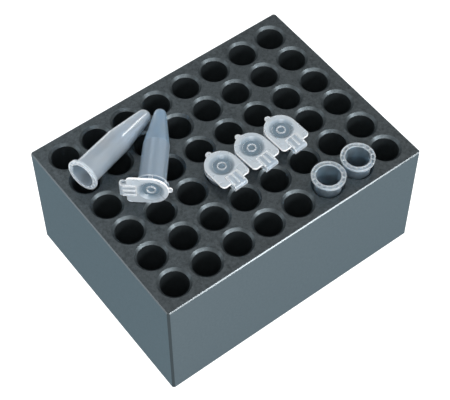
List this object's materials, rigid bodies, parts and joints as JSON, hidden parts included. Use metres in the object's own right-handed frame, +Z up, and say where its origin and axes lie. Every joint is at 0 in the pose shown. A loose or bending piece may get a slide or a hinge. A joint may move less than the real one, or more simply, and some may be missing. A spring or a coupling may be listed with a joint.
{
  "type": "dry block heater",
  "caption": "Machined heating block of a dry block heater with a grid of conical wells, open and hinge-capped sample tubes standing in wells and lying on top.",
  "frame": {"origin": "middle of the block's underside", "axes": "+X along the longer row of wells, +Y along the shorter row, +Z up out of the wells"},
  "size_m": [0.088, 0.0666, 0.0513],
  "materials": {
    "anodised_aluminium": "dark satin anodised, fine even grain",
    "clear_polypropylene": "moulded, translucent, smooth",
    "natural_polypropylene": "moulded, milky translucent, satin"
  },
  "bodies": {
    "block": {"block": "anodised_aluminium"},
    "open_tube_1": {"open_tube_1": "clear_polypropylene"},
    "open_tube_2": {"open_tube_2": "clear_polypropylene"},
    "open_tube_3": {"open_tube_3": "clear_polypropylene"},
    "capped_tube_1": {"tube_1": "clear_polypropylene", "lower_strap_1": "natural_polypropylene"},
    "cap_1": {"cap_1": "natural_polypropylene", "upper_strap_1": "natural_polypropylene"},
    "capped_tube_2": {"tube_2": "clear_polypropylene", "lower_strap_2": "natural_polypropylene"},
    "cap_2": {"cap_2": "natural_polypropylene", "upper_strap_2": "natural_polypropylene"},
    "capped_tube_3": {"tube_3": "clear_polypropylene", "lower_strap_3": "natural_polypropylene"},
    "cap_3": {"cap_3": "natural_polypropylene", "upper_strap_3": "natural_polypropylene"},
    "capped_tube_4": {"tube_4": "clear_polypropylene", "lower_strap_4": "natural_polypropylene"},
    "cap_4": {"cap_4": "natural_polypropylene", "upper_strap_4": "natural_polypropylene"}
  },
  "joints": [
    {"name": "open_tube_1_lift", "type": "slide", "parent": "block", "child": "open_tube_1", "axis": [0, 0, 1], "range_m": [0, 0.035]},
    {"name": "open_tube_2_lift", "type": "slide", "parent": "block", "child": "open_tube_2", "axis": [0, 0, 1], "range_m": [0, 0.035]},
    {"name": "open_tube_3_lift", "type": "slide", "parent": "block", "child": "open_tube_3", "axis": [0, 0, 1], "range_m": [0, 0.035]},
    {"name": "capped_tube_1_lift", "type": "slide", "parent": "block", "child": "capped_tube_1", "axis": [0, 0, 1], "range_m": [0, 0.035]},
    {"name": "cap_1_hinge", "type": "hinge", "parent": "capped_tube_1", "child": "cap_1", "pos_m": [-0.00479, -0.01394, 0.04415], "axis": [0.9986, 0.0523, 0], "range_deg": [0, 150]},
    {"name": "capped_tube_2_lift", "type": "slide", "parent": "block", "child": "capped_tube_2", "axis": [0, 0, 1], "range_m": [0, 0.035]},
    {"name": "cap_2_hinge", "type": "hinge", "parent": "capped_tube_2", "child": "cap_2", "pos_m": [0.00601, -0.01392, 0.04415], "axis": [0.9962, 0.0872, 0], "range_deg": [0, 150]},
    {"name": "capped_tube_3_lift", "type": "slide", "parent": "block", "child": "capped_tube_3", "axis": [0, 0, 1], "range_m": [0, 0.035]},
    {"name": "cap_3_hinge", "type": "hinge", "parent": "capped_tube_3", "child": "cap_3", "pos_m": [0.01628, -0.01393, 0.04415], "axis": [0.9981, 0.061, 0], "range_deg": [0, 150]},
    {"name": "capped_tube_4_lift", "type": "slide", "parent": "block", "child": "capped_tube_4", "axis": [0, 0, 1], "range_m": [0, 0.035]},
    {"name": "cap_4_hinge", "type": "hinge", "parent": "capped_tube_4", "child": "cap_4", "pos_m": [-0.03244, 0.00497, 0.04635], "axis": [-0.0486, -0.0569, -0.9972], "range_deg": [0, 150]}
  ]
}
